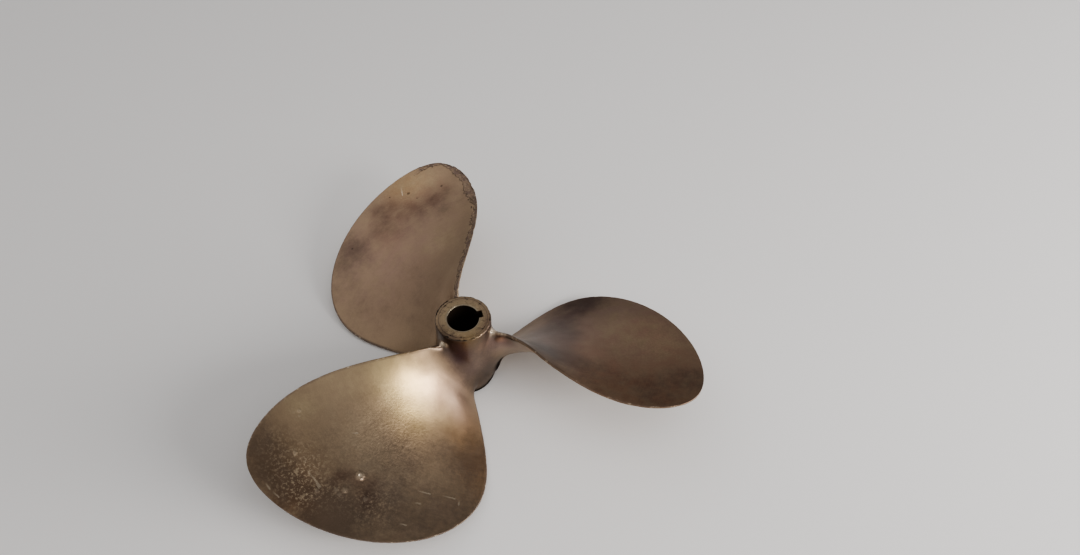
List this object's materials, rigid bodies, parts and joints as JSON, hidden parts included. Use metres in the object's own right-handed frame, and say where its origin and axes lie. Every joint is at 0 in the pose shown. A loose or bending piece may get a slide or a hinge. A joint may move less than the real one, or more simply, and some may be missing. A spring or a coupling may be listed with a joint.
{
  "type": "ship propeller",
  "caption": "Left-handed fixed-pitch propeller with wide skewed blades on a short hub with a keyed taper bore.",
  "frame": {"origin": "on the shaft axis, at the height of the centroid, 45.9 mm above the hub's forward face", "axes": "+Z along the shaft axis, towards the aft face of the hub; +X along the reference line of one blade, which is also the middle of the keyway"},
  "size_m": [0.417, 0.3989, 0.0922],
  "materials": {
    "bronze": "satin, worn and browned"
  },
  "bodies": {
    "root": {"propeller": "bronze"}
  },
  "joints": []
}
